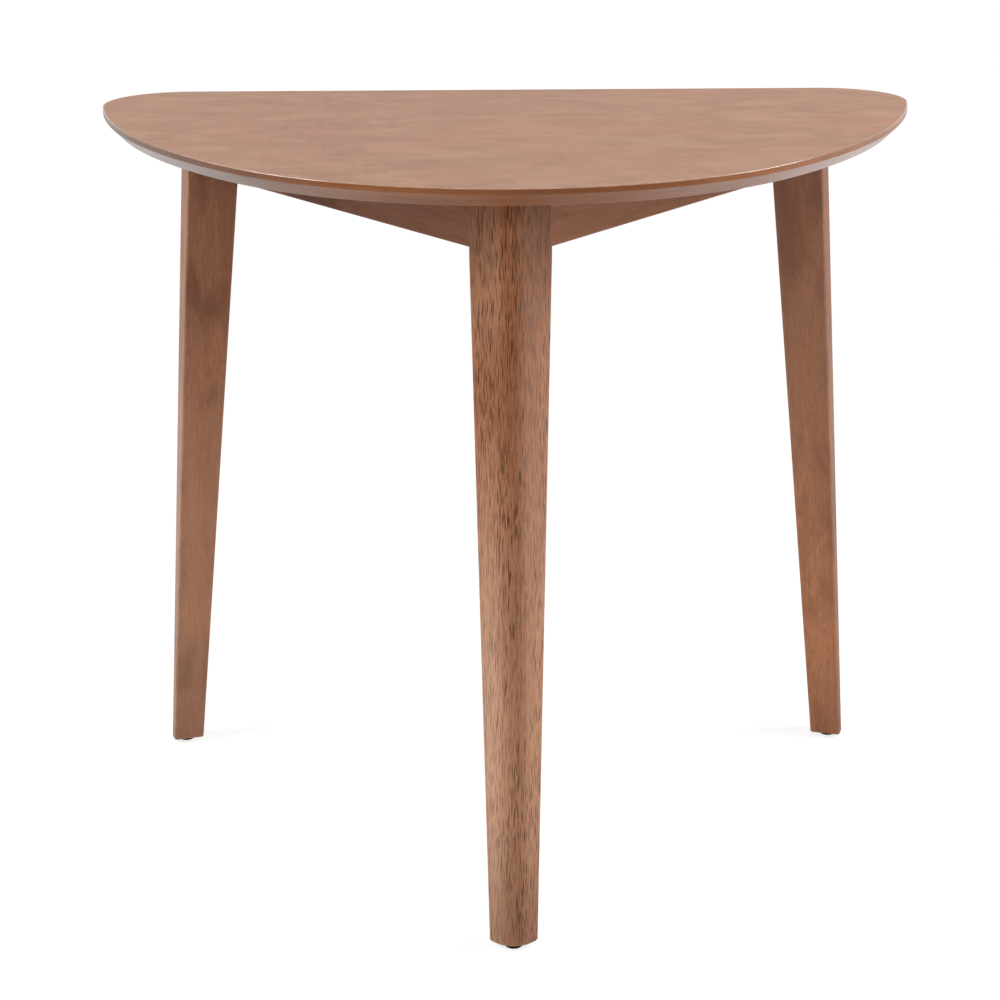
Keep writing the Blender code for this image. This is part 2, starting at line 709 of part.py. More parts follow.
def lay_out_corners():
    """The three legs anticlockwise from the front, each leaning away along its corner's bisector."""
    front = Vector((0, BACK_EDGE - TOP_DEPTH + FRONT_LEG_SETBACK))
    right = Vector((TOP_WIDTH / 2 - BACK_LEG_SIDE_SETBACK, BACK_EDGE - BACK_LEG_SETBACK))
    tips = {"front": front, "back_right": right, "back_left": Vector((-right.x, right.y))}
    corners = []
    for name, tip in tips.items():
        ways = [(other - tip).normalized() for other in tips.values() if other is not tip]
        corners.append(Corner(name, tip, -(ways[0] + ways[1]).normalized()))
    return corners


def lay_out_aprons(corners):
    """The three aprons anticlockwise, set back from the side arrises of the legs they join."""
    aprons = []
    for index, (name, screws) in enumerate((("right", 1), ("back", 2), ("left", 1))):
        start = corners[index]
        end = corners[(index + 1) % len(corners)]
        along = (end.side_corner(-1) - start.side_corner(1)).normalized()
        inward = Vector((-along.y, along.x))
        aprons.append(Apron(name, start, end, start.side_corner(1) + inward * APRON_SETBACK, along, screws))
    return aprons


def main():
    for old in list(bpy.data.objects):
        bpy.data.objects.remove(old, do_unlink=True)
    corners = lay_out_corners()
    aprons = lay_out_aprons(corners)
    make_top(corners, aprons)
    for apron in aprons:
        make_apron(apron)
        make_screws("apron_screw_" + apron.name, POCKET_SCREW_LENGTH, apron_screw_places(apron))
    for index, corner in enumerate(corners):
        neighbours = (aprons[index], aprons[index - 1])
        make_leg(corner)
        make_block(corner, *neighbours)
        make_bolt_set(corner)
        make_glide(corner)
        make_screws("top_screw_" + corner.name, TOP_SCREW_LENGTH, top_screw_places(corner))
        places = [block_screw_place(corner, apron) for apron in neighbours]
        make_screws("block_screw_" + corner.name, POCKET_SCREW_LENGTH, places)


main()
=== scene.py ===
import math

import bpy
from mathutils import Matrix, Vector


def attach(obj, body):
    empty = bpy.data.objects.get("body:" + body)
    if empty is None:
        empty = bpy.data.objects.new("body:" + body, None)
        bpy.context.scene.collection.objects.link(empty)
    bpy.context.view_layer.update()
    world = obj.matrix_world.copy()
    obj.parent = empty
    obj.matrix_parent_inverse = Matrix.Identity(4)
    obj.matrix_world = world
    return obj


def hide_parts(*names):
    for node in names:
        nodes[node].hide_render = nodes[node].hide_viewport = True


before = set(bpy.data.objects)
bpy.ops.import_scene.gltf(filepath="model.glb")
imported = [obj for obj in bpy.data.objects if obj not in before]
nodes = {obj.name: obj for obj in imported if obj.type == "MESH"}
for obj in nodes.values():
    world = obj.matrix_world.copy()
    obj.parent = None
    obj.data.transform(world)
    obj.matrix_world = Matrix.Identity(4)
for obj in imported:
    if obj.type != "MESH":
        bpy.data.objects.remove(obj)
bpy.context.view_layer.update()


# ---------------------------------------------------------------- camera

# Solved from the photograph's outline, in metres, radians and millimetres.
CAMERA_PLACE = Vector((-0.02962, -2.56146, 1.18869))
CAMERA_YAW = 0.00796
CAMERA_PITCH = 0.30879
CAMERA_ROLL = 0.00486
CAMERA_LENS = 94.151
CAMERA_SENSOR = 36


def make_camera():
    ahead = Vector((
        math.sin(CAMERA_YAW) * math.cos(CAMERA_PITCH),
        math.cos(CAMERA_YAW) * math.cos(CAMERA_PITCH),
        -math.sin(CAMERA_PITCH),
    ))
    level_right = Vector((math.cos(CAMERA_YAW), -math.sin(CAMERA_YAW), 0))
    level_up = level_right.cross(ahead)
    right = level_right * math.cos(CAMERA_ROLL) - level_up * math.sin(CAMERA_ROLL)
    up = right.cross(ahead)
    turn = Matrix((right, up, -ahead)).transposed().to_4x4()
    data = bpy.data.cameras.new("camera")
    data.lens = CAMERA_LENS
    data.sensor_width = CAMERA_SENSOR
    camera = bpy.data.objects.new("camera", data)
    camera.matrix_world = Matrix.Translation(CAMERA_PLACE) @ turn
    bpy.context.scene.collection.objects.link(camera)
    bpy.context.scene.camera = camera


make_camera()


# ---------------------------------------------------------------- colours and figures

STAIN_LIGHT = (0.440, 0.196, 0.098)
STAIN_MIDDLE = (0.355, 0.148, 0.070)
STAIN_DARK = (0.200, 0.072, 0.030)
# Painted light: the pale colour mixed into the legs where light falls on them.
PAINTED_LIGHT_COLOUR = (0.65, 0.395, 0.265)
# Painted reflection: a grey sheen mixed into a leg's +X flank.
PAINTED_SHEEN_GREY = (0.44, 0.30, 0.24)
OPEN_PORE = (0.034, 0.009, 0.003)
# Pale paint along the arrises of legs and aprons: rubbed wear and painted highlight.
RUBBED_AND_HIGHLIT_WOOD = (0.60, 0.38, 0.26)
# A painted highlight along the upper arris of the top's edging.
ARRIS_PAINTED_HIGHLIGHT = (0.62, 0.40, 0.28)

VENEER_LIGHT = (0.425, 0.222, 0.134)
VENEER_MIDDLE = (0.352, 0.179, 0.101)
VENEER_DARK = (0.248, 0.122, 0.070)
VENEER_PINK = (0.420, 0.176, 0.110)

BLOCK_MIDDLE = (0.50, 0.33, 0.195)
BLOCK_LIGHT = (0.62, 0.44, 0.28)
BLOCK_DARK = (0.36, 0.21, 0.11)
ZINC_DULL = (0.50, 0.51, 0.50)
ZINC_BRIGHT = (0.72, 0.72, 0.69)
PLASTIC_BLACK = (0.013, 0.012, 0.012)
PLASTIC_DUST = (0.035, 0.032, 0.030)

# By how much painted shade darkens a colour, in red, green and blue: on a leg's +X face, at the
# foot, and on the left of the top's edging.
OUTER_SHADE = (0.62, 0.56, 0.54)
FOOT_SHADE = (0.55, 0.50, 0.50)
EDGE_LEFT_SHADE = (0.48, 0.52, 0.58)

# A figure: cycles per metre along X, Y and Z, detail, roughness and distortion.
BANDS = ((2.2, 30, 30), 4, 0.55, 0.4)
PATCHES = ((9, 26, 26), 4, 0.6, 0.4)
FIBRES = ((14, 420, 420), 3, 0.6, 0)
STRANDS = ((80, 1050, 1050), 3, 0.65, 0)
CROWDING = ((5, 45, 45), 2, 0.5, 0)
# Breaks in the pale arris lines of legs and aprons, wear and painted highlight.
ARRIS_LINE_BREAKS = ((90, 90, 90), 3, 0.6, 0)
# Breaks in the painted highlight along the top's edging.
EDGE_HIGHLIGHT_BREAKS = ((60, 60, 60), 3, 0.6, 0)
VENEER_BANDS = ((13, 27, 27), 4, 0.6, 0.6)
VENEER_CLOUDS = ((18, 19, 19), 3, 0.55, 0.5)
VENEER_BLUSH = ((10, 13, 13), 3, 0.55, 0.5)
VENEER_CURL = ((120, 20, 20), 1, 0.4, 0.5)
VENEER_FIBRES = ((22, 520, 520), 3, 0.6, 0)
ZINC_CLOUDS = ((260, 260, 260), 3, 0.6, 0)
ZINC_SCRATCHES = ((2600, 240, 2600), 2, 0.6, 0)
PLASTIC_GRAIN = ((2200, 2200, 2200), 2, 0.6, 0)
PLASTIC_CLOUDS = ((150, 150, 150), 3, 0.5, 0)
BLOCK_BANDS = ((4, 60, 60), 4, 0.6, 0.5)
BLOCK_FIBRES = ((30, 700, 700), 3, 0.6, 0)
FLOOR_GRAIN = ((3, 3, 3), 3, 0.5, 0)

# Length and width of a pore's cell in metres.
LONG_PORE = (0.0230, 0.00115)
FINE_PORE = (0.0150, 0.00080)
# How often neighbouring columns of pores change, in cells, and how far they slide.
PORE_COLUMNS, PORE_SLIDE = 0.28, 4.5

# How round an arris is found for its wear and painted highlight.
ARRIS_RUB_AND_HIGHLIGHT_RADIUS = 0.0016
LACQUER_ROUGHNESS = 0.30
LACQUER_IOR = 1.6
STAIN_SPECULAR = 0.08
PLASTIC_SPECULAR = 0.15


# ---------------------------------------------------------------- node helpers

EDGE_MAP = "edge"


class Graph:
    """A material's node tree with short calls for the nodes that the finishes share."""

    def __init__(self, name):
        self.material = bpy.data.materials.new(name)
        self.material.use_nodes = True
        self.tree = self.material.node_tree
        self.shader = self.tree.nodes["Principled BSDF"]
        self.output = self.tree.nodes["Material Output"]

    def add(self, kind, **settings):
        node = self.tree.nodes.new(kind)
        for key, value in settings.items():
            setattr(node, key, value)
        return node

    def put(self, socket, value):
        if isinstance(value, bpy.types.NodeSocket):
            self.tree.links.new(value, socket)
        else:
            socket.default_value = value

    def math(self, operation, a, b=0.0):
        node = self.add("ShaderNodeMath", operation=operation)
        for socket, value in zip(node.inputs, (a, b)):
            self.put(socket, value)
        return node.outputs[0]

    def product(self, result, *others):
        for value in others:
            result = self.math("MULTIPLY", result, value)
        return result

    def vector_math(self, operation, a, b=None):
        node = self.add("ShaderNodeVectorMath", operation=operation)
        self.put(node.inputs[0], a)
        if b is not None:
            self.put(node.inputs[1], b)
        return node.outputs

    def ramp(self, value, low, high, to_low=0.0, to_high=1.0):
        """Smooth step of a value between two levels."""
        node = self.add("ShaderNodeMapRange", interpolation_type="SMOOTHSTEP")
        for socket, entry in zip(node.inputs, (value, low, high, to_low, to_high)):
            self.put(socket, entry)
        return node.outputs[0]

    def mix(self, share, a, b, blend="MIX"):
        node = self.add("ShaderNodeMix", data_type="RGBA", blend_type=blend)
        self.put(node.inputs[0], share)
        for socket, value in ((node.inputs[6], a), (node.inputs[7], b)):
            self.put(socket, value if isinstance(value, bpy.types.NodeSocket) else (*value, 1))
        return node.outputs[2]

    def shade(self, share, colour, factor):
        """A colour that a factor darkens where the share grows."""
        return self.mix(share, colour, self.mix(1.0, colour, factor, "MULTIPLY"))

    def place(self, turn=(0, 0, 0)):
        """Object coordinates seen from a frame that is turned."""
        coordinates = self.add("ShaderNodeTexCoord").outputs["Object"]
        node = self.add("ShaderNodeMapping", vector_type="TEXTURE")
        self.put(node.inputs["Vector"], coordinates)
        node.inputs["Rotation"].default_value = turn
        return node.outputs[0]

    def unrolled(self):
        """Coordinates along an edge and across it, in metres."""
        return self.add("ShaderNodeUVMap", uv_map=EDGE_MAP).outputs[0]

    def normal(self):
        return self.add("ShaderNodeNewGeometry").outputs["Normal"]

    def split(self, vector):
        """The X, Y and Z of a vector."""
        node = self.add("ShaderNodeSeparateXYZ")
        self.put(node.inputs[0], vector)
        return node.outputs

    def stretched(self, vector, scale, shift=(0, 0, 0)):
        node = self.add("ShaderNodeMapping")
        self.put(node.inputs["Vector"], vector)
        node.inputs["Location"].default_value = shift
        node.inputs["Scale"].default_value = scale
        return node.outputs[0]

    def noise(self, vector, figure, shift=(0, 0, 0)):
        scale, detail, roughness, distortion = figure
        node = self.add("ShaderNodeTexNoise")
        self.put(node.inputs["Vector"], self.stretched(vector, scale, shift))
        node.inputs["Scale"].default_value = 1
        node.inputs["Detail"].default_value = detail
        node.inputs["Roughness"].default_value = roughness
        node.inputs["Distortion"].default_value = distortion
        return node.outputs[0]

    def cells(self, vector):
        """Distance to the nearest scattered point, and a random number that is the point's own."""
        node = self.add("ShaderNodeTexVoronoi")
        self.put(node.inputs["Vector"], vector)
        node.inputs["Scale"].default_value = 1
        chance = self.add("ShaderNodeSeparateColor")
        self.put(chance.inputs[0], node.outputs["Color"])
        return node.outputs["Distance"], chance.outputs[0]

    def bump(self, height, strength, distance):
        node = self.add("ShaderNodeBump")
        self.put(node.inputs["Height"], height)
        node.inputs["Strength"].default_value = strength
        node.inputs["Distance"].default_value = distance
        return node.outputs[0]

    def surface(self, colour=None, roughness=None, normal=None):
        """Link what a finish varies to its shader."""
        for name, value in (("Base Color", colour), ("Roughness", roughness), ("Normal", normal)):
            if value is not None:
                self.put(self.shader.inputs[name], value)

    def lacquer(self, weight, roughness=LACQUER_ROUGHNESS):
        """A clear coat over the stain."""
        self.shader.inputs["Coat Weight"].default_value = weight
        self.shader.inputs["Coat Roughness"].default_value = roughness
        self.shader.inputs["Coat IOR"].default_value = LACQUER_IOR
        self.shader.inputs["Specular IOR Level"].default_value = STAIN_SPECULAR


def tinted(colour, tone):
    return tuple(a * b for a, b in zip(colour, tone))


# ---------------------------------------------------------------- wood

# Smooth steps, from one level to another and from one result to another, in metres where the
# level is a place.
# Painted light on a leg: its flanks, more on its -X side, over its lower half, and at the top of
# its -X side.
LEG_FLANK = (0.004, 0.020, 0.50, 1.0)
LEG_SIDE = (-0.010, 0.010, 1.0, 0.50)
LEG_LOWER_HALF = (0.60, 0.22)
LEG_LEFT_FLANK = (-0.004, -0.014)
LEG_CROWN = (0.54, 0.64)
CROWN_PALENESS = 0.28
# Painted grey sheen on a leg's +X flank, growing with height.
LEG_RIGHT_FLANK = (0.0, 0.014)
LEG_SHEEN_HEIGHTS = (0.20, 0.50, 0.05, 0.22)
# Painted shade on faces turned to +X.
OUTER_FACING = (0.55, 0.90)
# Painted shade at the foot.
LEG_FOOT = (0.16, 0.0, 0.0, 0.60)
# Painted shade on the left of the top's edging.
EDGE_LEFT = (-0.10, -0.32)
EDGE_ARRIS = (0.74882, 0.74915)
# The painted highlight along the edging's upper arris fades towards the ends, on the right and at
# the back.
EDGE_REACH = (0.27, 0.35, 1.0, 0.2)
EDGE_RIGHT_REACH = (0.16, 0.25, 1.0, 0.15)
EDGE_BACK_REACH = (0.16, 0.24, 1.0, 0.0)
EDGE_SEED, EDGE_STRAND, EDGE_SMOKE = 5.0, 0.25, 0.35
CURL_PLACE, CURL_SHARE = 0.17, (0.03, 0.10, 0.22, 0.05)


def pores(graph, vector, size, share, seed):
    """Dark open pores: short streaks along X, scattered, and only in a share of their cells.

    Neighbouring columns slide along X against each other, so that no row of pores shows."""
    length, width = size
    scale = (1 / length, 1 / width, 1 / width)
    scaled = graph.stretched(vector, scale, (seed, seed * 1.7, seed * 2.3))
    spread = PORE_COLUMNS / width
    columns = graph.noise(vector, ((0, spread, spread), 2, 0.6, 0), (seed, seed, seed))
    slide = graph.add("ShaderNodeCombineXYZ")
    graph.put(slide.inputs[0], graph.math("MULTIPLY", columns, PORE_SLIDE))
    distance, chance = graph.cells(graph.vector_math("ADD", scaled, slide.outputs[0])[0])
    depth = graph.ramp(distance, 0.28, 0.44, 1.0, 0.0)
    shown = graph.ramp(chance, 1 - share, 1 - share * 0.7)
    return graph.product(depth, shown)


def worn_and_highlit(graph, colour):
    """Pale paint along the arrises, rubbed wear and painted highlight, where a rounded surface
    would part from the true one.
    """
    rounded = graph.add("ShaderNodeBevel", samples=4)
    rounded.inputs["Radius"].default_value = ARRIS_RUB_AND_HIGHLIGHT_RADIUS
    match = graph.vector_math("DOT_PRODUCT", rounded.outputs[0], graph.normal())["Value"]
    line_breaks = graph.noise(graph.place(), ARRIS_LINE_BREAKS)
    edge = graph.product(graph.ramp(match, 0.99, 0.90), graph.ramp(line_breaks, 0.3, 0.7, 0.25, 0.70))
    return graph.mix(edge, colour, RUBBED_AND_HIGHLIT_WOOD)


def wood(graph, local, seed, pore_share, tone, strand, smoke, painted_light=0.0):
    """Stained wood, its grain along local X: bands, smoky patches, fibres, strands and pores.

    Where its last share grows, painted light pales the colour and fewer pores show."""
    shift = (seed * 3.1, seed * 1.3, seed * 0.7)
    bands = graph.noise(local, BANDS, shift)
    fibres = graph.noise(local, FIBRES, shift)
    strands = graph.noise(local, STRANDS, shift)
    patches = graph.noise(local, PATCHES, shift)
    light, middle, dark = (
        tinted(stain, tone) for stain in (STAIN_LIGHT, STAIN_MIDDLE, STAIN_DARK)
    )
    colour = graph.mix(graph.ramp(bands, 0.34, 0.66), middle, light)
    colour = graph.mix(graph.ramp(patches, 0.46, 0.70, 0.0, smoke), colour, dark)
    colour = graph.mix(graph.ramp(fibres, 0.40, 0.75, 0.0, 0.35), colour, dark)
    colour = graph.mix(graph.ramp(strands, 0.42, 0.66, 0.0, strand), colour, dark)
    colour = graph.mix(painted_light, colour, PAINTED_LIGHT_COLOUR)
    rough = graph.ramp(fibres, 0.3, 0.7, 0.42, 0.52)
    height = graph.math("MULTIPLY", strands, 0.25)
    if pore_share:
        streaks = pores(graph, local, LONG_PORE, pore_share, seed)
        fine = pores(graph, local, FINE_PORE, pore_share, seed + 5)
        crowded = graph.ramp(graph.noise(local, CROWDING, shift), 0.34, 0.58, 0.60, 1.0)
        open_grain = graph.math("MAXIMUM", streaks, graph.math("MULTIPLY", fine, 0.8))
        open_grain = graph.product(open_grain, crowded, graph.ramp(painted_light, 0.0, 0.7, 1.0, 0.6))
        colour = graph.mix(graph.math("MULTIPLY", open_grain, 0.96), colour, OPEN_PORE)
        rough = graph.math("ADD", rough, graph.math("MULTIPLY", open_grain, 0.25))
        height = graph.math("SUBTRACT", height, open_grain)
    graph.surface(roughness=rough, normal=graph.bump(height, 0.35, 0.0004))
    graph.put(graph.shader.inputs["Coat Normal"], graph.bump(height, 0.15, 0.0003))
    return colour


def rail_wood(name, turn, seed, tone, strand, smoke, gloss):
    """A straight member whose grain runs along a direction."""
    graph = Graph(name)
    colour = wood(graph, graph.place(turn), seed, 0, tone, strand, smoke)
    graph.surface(worn_and_highlit(graph, colour))
    graph.lacquer(gloss)
    return graph.material


def leg_wood(name, turn, seed, pore_share, tone, strand, smoke, pale, gloss, outer):
    """A leg, where painted light pales the flanks of its lower half, more on its -X side, and the
    top of its -X side, but less its middle, and painted shade darkens the foot. A share outer
    paints shade on the face turned to +X, and a painted grey sheen lies on its +X flank."""
    graph = Graph(name)
    parts = graph.split(graph.place())
    across, height = parts[0], parts[2]
    # Painted light: paler flanks over the lower half, more on the -X side, and at the top of the -X
    # side.
    flank = graph.ramp(graph.math("ABSOLUTE", across), *LEG_FLANK)
    side = graph.ramp(across, *LEG_SIDE)
    lower = graph.product(graph.ramp(height, *LEG_LOWER_HALF, 0.0, pale), flank, side)
    crown = graph.ramp(height, *LEG_CROWN, 0.0, pale * CROWN_PALENESS)
    crown = graph.product(graph.ramp(across, *LEG_LEFT_FLANK), crown)
    painted_light = graph.math("MAXIMUM", lower, crown)
    colour = wood(graph, graph.place(turn), seed, pore_share, tone, strand, smoke, painted_light)
    # Painted reflection: a grey sheen on the +X flank.
    painted_sheen = graph.product(graph.ramp(across, *LEG_RIGHT_FLANK), graph.ramp(height, *LEG_SHEEN_HEIGHTS))
    colour = graph.mix(painted_sheen, colour, PAINTED_SHEEN_GREY)
    # Painted shade on faces turned to +X.
    facing = graph.ramp(graph.split(graph.normal())[0], *OUTER_FACING, 0.0, outer)
    colour = graph.shade(facing, colour, OUTER_SHADE)
    # Painted shade at the foot.
    colour = graph.shade(graph.ramp(height, *LEG_FOOT), colour, FOOT_SHADE)
    graph.surface(worn_and_highlit(graph, colour))
    graph.lacquer(gloss)
    return graph.material


def edge_wood(name, tone, gloss_roughness):
    """The edging, whose grain follows the edge, under a glossier coat, painted shade on its left
    and a painted highlight along its upper arris.
    """
    graph = Graph(name)
    colour = wood(graph, graph.unrolled(), EDGE_SEED, 0, tone, EDGE_STRAND, EDGE_SMOKE)
    parts = graph.split(graph.place())
    across, depth = parts[0], parts[1]
    # Painted shade on the left of the edging.
    colour = graph.shade(graph.ramp(across, *EDGE_LEFT), colour, EDGE_LEFT_SHADE)
    # Painted highlight along the upper arris, broken up, fading towards the ends, the right and the
    # back.
    line_breaks = graph.noise(graph.unrolled(), EDGE_HIGHLIGHT_BREAKS)
    painted_highlight = graph.product(
        graph.ramp(graph.split(graph.unrolled())[1], *EDGE_ARRIS),
        graph.ramp(line_breaks, 0.3, 0.7, 0.35, 0.75),
        graph.ramp(graph.math("ABSOLUTE", across), *EDGE_REACH),
        graph.ramp(across, *EDGE_RIGHT_REACH),
        graph.ramp(depth, *EDGE_BACK_REACH),
    )
    graph.surface(graph.mix(painted_highlight, colour, ARRIS_PAINTED_HIGHLIGHT))
    graph.lacquer(1.0, gloss_roughness)
    return graph.material


def veneer(name, tone=(1, 1, 1)):
    """Stained veneer, its grain along X, with soft cross figure, faint curl and pink patches."""
    graph = Graph(name)
    local = graph.place()
    bands = graph.noise(local, VENEER_BANDS)
    clouds = graph.noise(local, VENEER_CLOUDS, (4, 2, 1))
    blush = graph.noise(local, VENEER_BLUSH, (7, 5, 2))
    curl = graph.noise(local, VENEER_CURL, (2, 7, 3))
    fibres = graph.noise(local, VENEER_FIBRES)
    from_curl = graph.math("ABSOLUTE", graph.math("ADD", graph.split(local)[0], CURL_PLACE))
    curled = graph.product(graph.ramp(curl, 0.34, 0.66), graph.ramp(from_curl, *CURL_SHARE))
    light, middle, dark, pink = (
        tinted(stain, tone) for stain in (VENEER_LIGHT, VENEER_MIDDLE, VENEER_DARK, VENEER_PINK)
    )
    colour = graph.mix(graph.ramp(bands, 0.36, 0.64), middle, light)
    colour = graph.mix(graph.ramp(blush, 0.46, 0.68, 0.0, 0.50), colour, pink)
    colour = graph.mix(graph.ramp(clouds, 0.50, 0.78, 0.0, 0.38), colour, dark)
    colour = graph.mix(curled, colour, dark)
    colour = graph.mix(graph.ramp(fibres, 0.42, 0.75, 0.0, 0.18), colour, dark)
    rough = graph.ramp(fibres, 0.3, 0.7, 0.42, 0.50)
    graph.surface(colour, rough, graph.bump(fibres, 0.12, 0.0002))
    graph.lacquer(0.10)
    return graph.material


def block_wood(name, turn, seed):
    """Planed, unstained block wood: growth bands and fine fibres."""
    graph = Graph(name)
    local = graph.place(turn)
    shift = (seed, seed * 2.1, seed * 0.4)
    bands = graph.noise(local, BLOCK_BANDS, shift)
    fibres = graph.noise(local, BLOCK_FIBRES, shift)
    colour = graph.mix(graph.ramp(bands, 0.35, 0.65), BLOCK_MIDDLE, BLOCK_LIGHT)
    colour = graph.mix(graph.ramp(fibres, 0.45, 0.75, 0.0, 0.4), colour, BLOCK_DARK)
    rough = graph.ramp(fibres, 0.3, 0.7, 0.55, 0.72)
    graph.surface(colour, rough, graph.bump(fibres, 0.3, 0.0003))
    return graph.material


# ---------------------------------------------------------------- metal and plastic

def metal(name):
    """Bright zinc plate: soft mottling in colour and roughness, with fine scratches."""
    graph = Graph(name)
    local = graph.place()
    clouds = graph.noise(local, ZINC_CLOUDS)
    scratches = graph.noise(local, ZINC_SCRATCHES)
    colour = graph.mix(graph.ramp(clouds, 0.3, 0.7), ZINC_DULL, ZINC_BRIGHT)
    rough = graph.ramp(clouds, 0.3, 0.7, 0.24, 0.42)
    graph.surface(colour, rough, graph.bump(scratches, 0.15, 0.0001))
    graph.shader.inputs["Metallic"].default_value = 1
    return graph.material


def plastic(name):
    """Black moulded plastic with a fine spark-eroded texture and dust in its hollows."""
    graph = Graph(name)
    local = graph.place()
    grain = graph.noise(local, PLASTIC_GRAIN)
    clouds = graph.noise(local, PLASTIC_CLOUDS)
    colour = graph.mix(graph.ramp(clouds, 0.4, 0.8), PLASTIC_BLACK, PLASTIC_DUST)
    rough = graph.ramp(clouds, 0.3, 0.7, 0.48, 0.66)
    graph.surface(colour, rough, graph.bump(grain, 0.25, 0.0001))
    graph.shader.inputs["Specular IOR Level"].default_value = PLASTIC_SPECULAR
    return graph.material


# ---------------------------------------------------------------- finishes

# How far a leg spreads over its rise, in metres, and which way each leg leans.
LEG_SPREAD, LEG_RISE = 0.0489, 0.7264
LEG_LEANS = {"leg_front": (0, -1), "leg_back_left": (-0.8, 0.6), "leg_back_right": (0.8, 0.6)}
# Per leg, pale is the share of painted light and outer the share of painted shade on the +X face.
LEG_STYLES = {
    "leg_front": {
        "seed": 2.0, "pore_share": 0.82, "tone": (1.04, 0.97, 0.91), "strand": 0.60,
        "smoke": 0.34, "pale": 0.74, "gloss": 0.12, "outer": 0.0,
    },
    "leg_back_left": {
        "seed": 5.7, "pore_share": 0, "tone": (0.89, 0.80, 0.74), "strand": 0.60,
        "smoke": 0.90, "pale": 0.20, "gloss": 0.45, "outer": 0.0,
    },
    "leg_back_right": {
        "seed": 9.4, "pore_share": 0, "tone": (1.12, 1.00, 0.86), "strand": 0.65,
        "smoke": 1.0, "pale": 0.20, "gloss": 0.16, "outer": 1.0,
    },
}
RAIL_STRAND, RAIL_SMOKE, RAIL_GLOSS = 0.25, 1.0, 0.25
# Which way the grain of each apron runs, its seed and its tone; the tones paint shade on the left
# apron and light on the right one.
APRONS = {
    "apron_left": ((0.3095, -0.3966, 0), 11.0, (0.79, 0.72, 0.71)),
    "apron_right": ((0.3095, 0.3966, 0), 13.9, (1.16, 1.12, 1.09)),
    "apron_back": ((1, 0, 0), 16.8, (1.05, 0.99, 0.96)),
}
BLOCK_SEED = 3.0
ZINC_PLATED = ("nut_", "hanger_bolt", "flat_washer", "spring_washer", "glide_nail")


def paint(node, material):
    """Put one finish on every slot of a node."""
    for entry in node.material_slots:
        entry.material = material


def along(way):
    """Rotation whose X axis points along a direction."""
    return tuple(Vector(way).to_track_quat("X", "Z").to_euler())


def finish_nodes():
    for name, style in LEG_STYLES.items():
        lean = LEG_LEANS[name]
        way = (lean[0] * -LEG_SPREAD, lean[1] * -LEG_SPREAD, LEG_RISE)
        paint(nodes[name], leg_wood(name + "_wood", along(way), **style))
    for name, (way, seed, tone) in APRONS.items():
        finish = rail_wood(
            name + "_wood", along(way), seed, tone, RAIL_STRAND, RAIL_SMOKE, RAIL_GLOSS
        )
        paint(nodes[name], finish)
    zinc = metal("zinc")
    black = plastic("black_plastic")
    for name, node in nodes.items():
        if name.startswith(ZINC_PLATED) or "_screw_" in name:
            paint(node, zinc)
        elif name.startswith("glide_"):
            paint(node, black)
        elif name.startswith("corner_block"):
            paint(node, block_wood(name + "_wood", along((1, 0, 0)), BLOCK_SEED))


finish_nodes()


# ---------------------------------------------------------------- top, with rounded arrises

# The board in metres and radians, as part.py has it.
TOP_WIDTH, TOP_DEPTH, BACK_EDGE, CORNER_RADIUS = 0.848, 0.565, 0.28142, 0.084
TOP_LEVEL, BOARD_BOTTOM, SEAM_LEVEL, BAND_BOTTOM = 0.750, 0.732, 0.7488, 0.744
UNDERCUT = 0.012
BEVEL_TILT = -math.pi / 4
CORNER_SWEEP, NOSE_HALF_SWEEP = math.radians(97.5), math.radians(48.5)

# What is added: the radius of each rounded arris, and the steps round it and along the outline.
FACE_ROUNDING, FACE_STEPS = 0.0012, 8
EDGE_ROUNDING, EDGE_STEPS = 0.0010, 4
NOSE_STEPS, SIDE_STEPS, CORNER_STEPS, BACK_STEPS = 50, 60, 48, 40

ARRIS_TONE, ARRIS_GLOSS = (0.84, 0.68, 0.44), 0.12
EDGE_TONE, EDGE_GLOSS = (0.80, 0.66, 0.46), 0.26
BACKING_TONE = (0.62, 0.56, 0.52)


def direction(angle):
    return Vector((math.cos(angle), math.sin(angle)))


def arc(centre, radius, start, end, steps):
    """Points of an arc, each with the direction out of it."""
    ways = [direction(start + (end - start) * step / steps) for step in range(steps)]
    return [(centre + radius * way, way) for way in ways]


def top_outline():
    """Points round the top, anticlockwise from the middle of the back, with outward directions."""
    nose_end, side_end = NOSE_HALF_SWEEP - math.pi / 2, math.pi / 2 - CORNER_SWEEP
    nose = Vector((0, BACK_EDGE - TOP_DEPTH))
    corner = Vector((TOP_WIDTH / 2 - CORNER_RADIUS, BACK_EDGE - CORNER_RADIUS))
    nose_way = direction(nose_end) - direction(-math.pi / 2)
    side_way = direction(side_end) - direction(nose_end)
    reach = corner + CORNER_RADIUS * direction(side_end) - nose
    nose_radius = reach.cross(side_way) / nose_way.cross(side_way)
    side_radius = nose_way.cross(reach) / nose_way.cross(side_way)
    nose_centre = nose + Vector((0, nose_radius))
    side_centre = nose_centre + (nose_radius - side_radius) * direction(nose_end)
    right = arc(nose_centre, nose_radius, -math.pi / 2, nose_end, NOSE_STEPS)
    right += arc(side_centre, side_radius, nose_end, side_end, SIDE_STEPS)
    right += arc(corner, CORNER_RADIUS, side_end, math.pi / 2, CORNER_STEPS)
    half, middle, back = Vector((corner.x, BACK_EDGE)), Vector((0, BACK_EDGE)), Vector((0, 1))
    for step in range(BACK_STEPS):
        share = step / BACK_STEPS
        right.append((half * (1 - share) + middle * share, back))
    left = [
        (Vector((-point.x, point.y)), Vector((-way.x, way.y))) for point, way in reversed(right[1:])
    ]
    return [(middle, back)] + left + right


